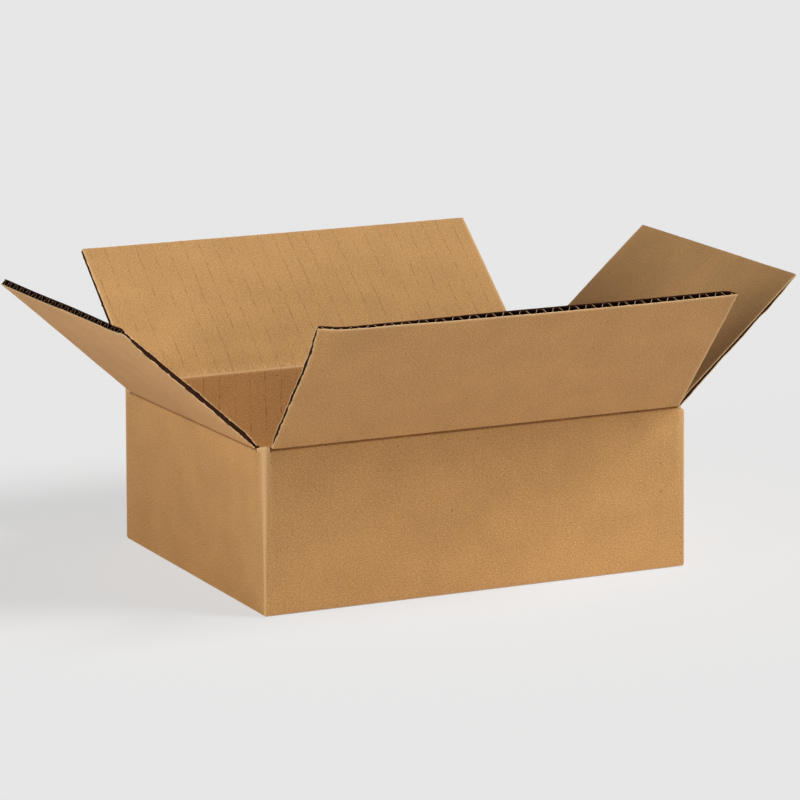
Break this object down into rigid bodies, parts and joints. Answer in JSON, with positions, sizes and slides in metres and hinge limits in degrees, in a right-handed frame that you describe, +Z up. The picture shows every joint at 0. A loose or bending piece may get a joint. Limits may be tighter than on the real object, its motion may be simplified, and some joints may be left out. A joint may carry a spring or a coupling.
{
  "type": "open corrugated cardboard box",
  "caption": "Small corrugated shipping box set up on its shut bottom, with its top flaps open and splayed outwards on their creases.",
  "frame": {"origin": "middle of the box's base, on the surface that it stands on", "axes": "+Z up, +X along the long walls to the right, -Y out of the front wall"},
  "size_m": [0.3294, 0.273, 0.1354],
  "materials": {
    "kraft_board": "matte",
    "kraft_flaps": "matte"
  },
  "bodies": {
    "box": {"box_body": "kraft_board"},
    "flap_front": {"front_flap": "kraft_flaps"},
    "flap_back": {"back_flap": "kraft_flaps"},
    "flap_left": {"left_flap": "kraft_flaps"},
    "flap_right": {"right_flap": "kraft_flaps"}
  },
  "joints": [
    {"name": "front_crease", "type": "hinge", "parent": "box", "child": "flap_front", "pos_m": [0, -0.0797, 0.0735], "axis": [1, 0, 0], "range_deg": [-131, 99]},
    {"name": "back_crease", "type": "hinge", "parent": "box", "child": "flap_back", "pos_m": [0, 0.0797, 0.0735], "axis": [-1, 0, 0], "range_deg": [-141, 89]},
    {"name": "left_crease", "type": "hinge", "parent": "box", "child": "flap_left", "pos_m": [-0.1032, 0, 0.0701], "axis": [0, -1, 0], "range_deg": [-138, 92]},
    {"name": "right_crease", "type": "hinge", "parent": "box", "child": "flap_right", "pos_m": [0.1032, 0, 0.0701], "axis": [0, 1, 0], "range_deg": [-138, 92]}
  ]
}
